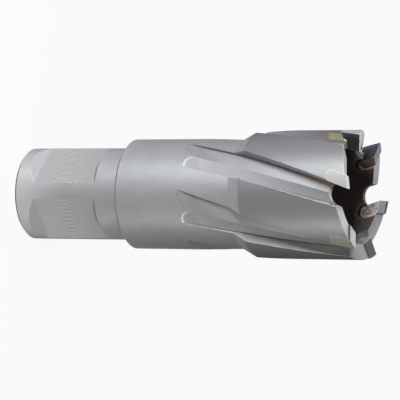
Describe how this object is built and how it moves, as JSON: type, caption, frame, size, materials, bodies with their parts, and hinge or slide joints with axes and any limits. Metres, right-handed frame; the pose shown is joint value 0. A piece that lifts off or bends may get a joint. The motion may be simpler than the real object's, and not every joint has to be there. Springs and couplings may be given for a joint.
{
  "type": "annular cutter",
  "caption": "Hollow carbide-tipped core cutter with helical flutes on a two-flat shank.",
  "frame": {"origin": "centre of the shank's end face, which the cutter stands on", "axes": "+Z along the turning axis from the shank to the cutting end, +X towards the cutting edge of the first tooth; the cutter turns in the positive sense about +Z"},
  "size_m": [0.0262, 0.026, 0.0744],
  "materials": {
    "tool_steel": "satin, lightly blasted, machining marks on the flats",
    "carbide": "ground, dark grey",
    "braze_alloy": "dull gold, heat tinted"
  },
  "bodies": {
    "root": {"cutter_body": "tool_steel", "carbide_tip_1": "carbide", "carbide_tip_2": "carbide", "carbide_tip_3": "carbide", "carbide_tip_4": "carbide", "carbide_tip_5": "carbide", "carbide_tip_6": "carbide", "braze_joint_1": "braze_alloy", "braze_joint_2": "braze_alloy", "braze_joint_3": "braze_alloy", "braze_joint_4": "braze_alloy", "braze_joint_5": "braze_alloy", "braze_joint_6": "braze_alloy"}
  },
  "joints": []
}
